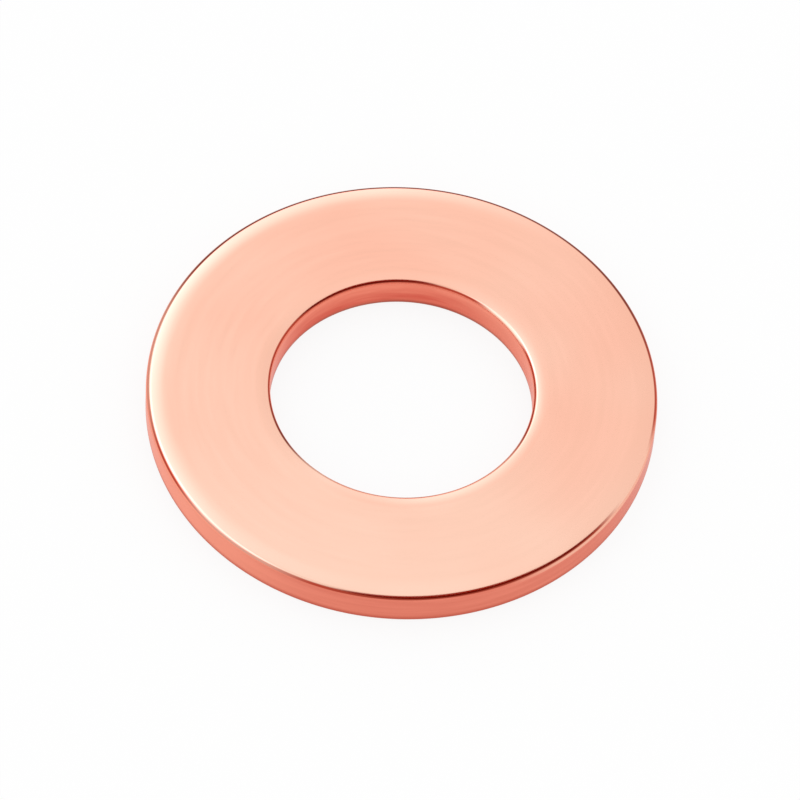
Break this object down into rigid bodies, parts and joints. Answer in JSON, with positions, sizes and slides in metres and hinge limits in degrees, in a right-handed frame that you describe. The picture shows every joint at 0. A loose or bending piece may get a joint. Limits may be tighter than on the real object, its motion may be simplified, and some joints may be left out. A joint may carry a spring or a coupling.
{
  "type": "copper crush washer",
  "caption": "Flat solid copper ring with a round hole and softly rounded rims, squeezed between a bolt head and its seat to seal a joint.",
  "frame": {"origin": "on the ring's axis, in the plane of its lower sealing face", "axes": "+Z along the axis of the hole, up out of the upper sealing face; X and Y are alike, because the ring is round"},
  "size_m": [0.02, 0.02, 0.0016],
  "materials": {
    "copper": "polished copper"
  },
  "bodies": {
    "root": {"washer": "copper"}
  },
  "joints": []
}
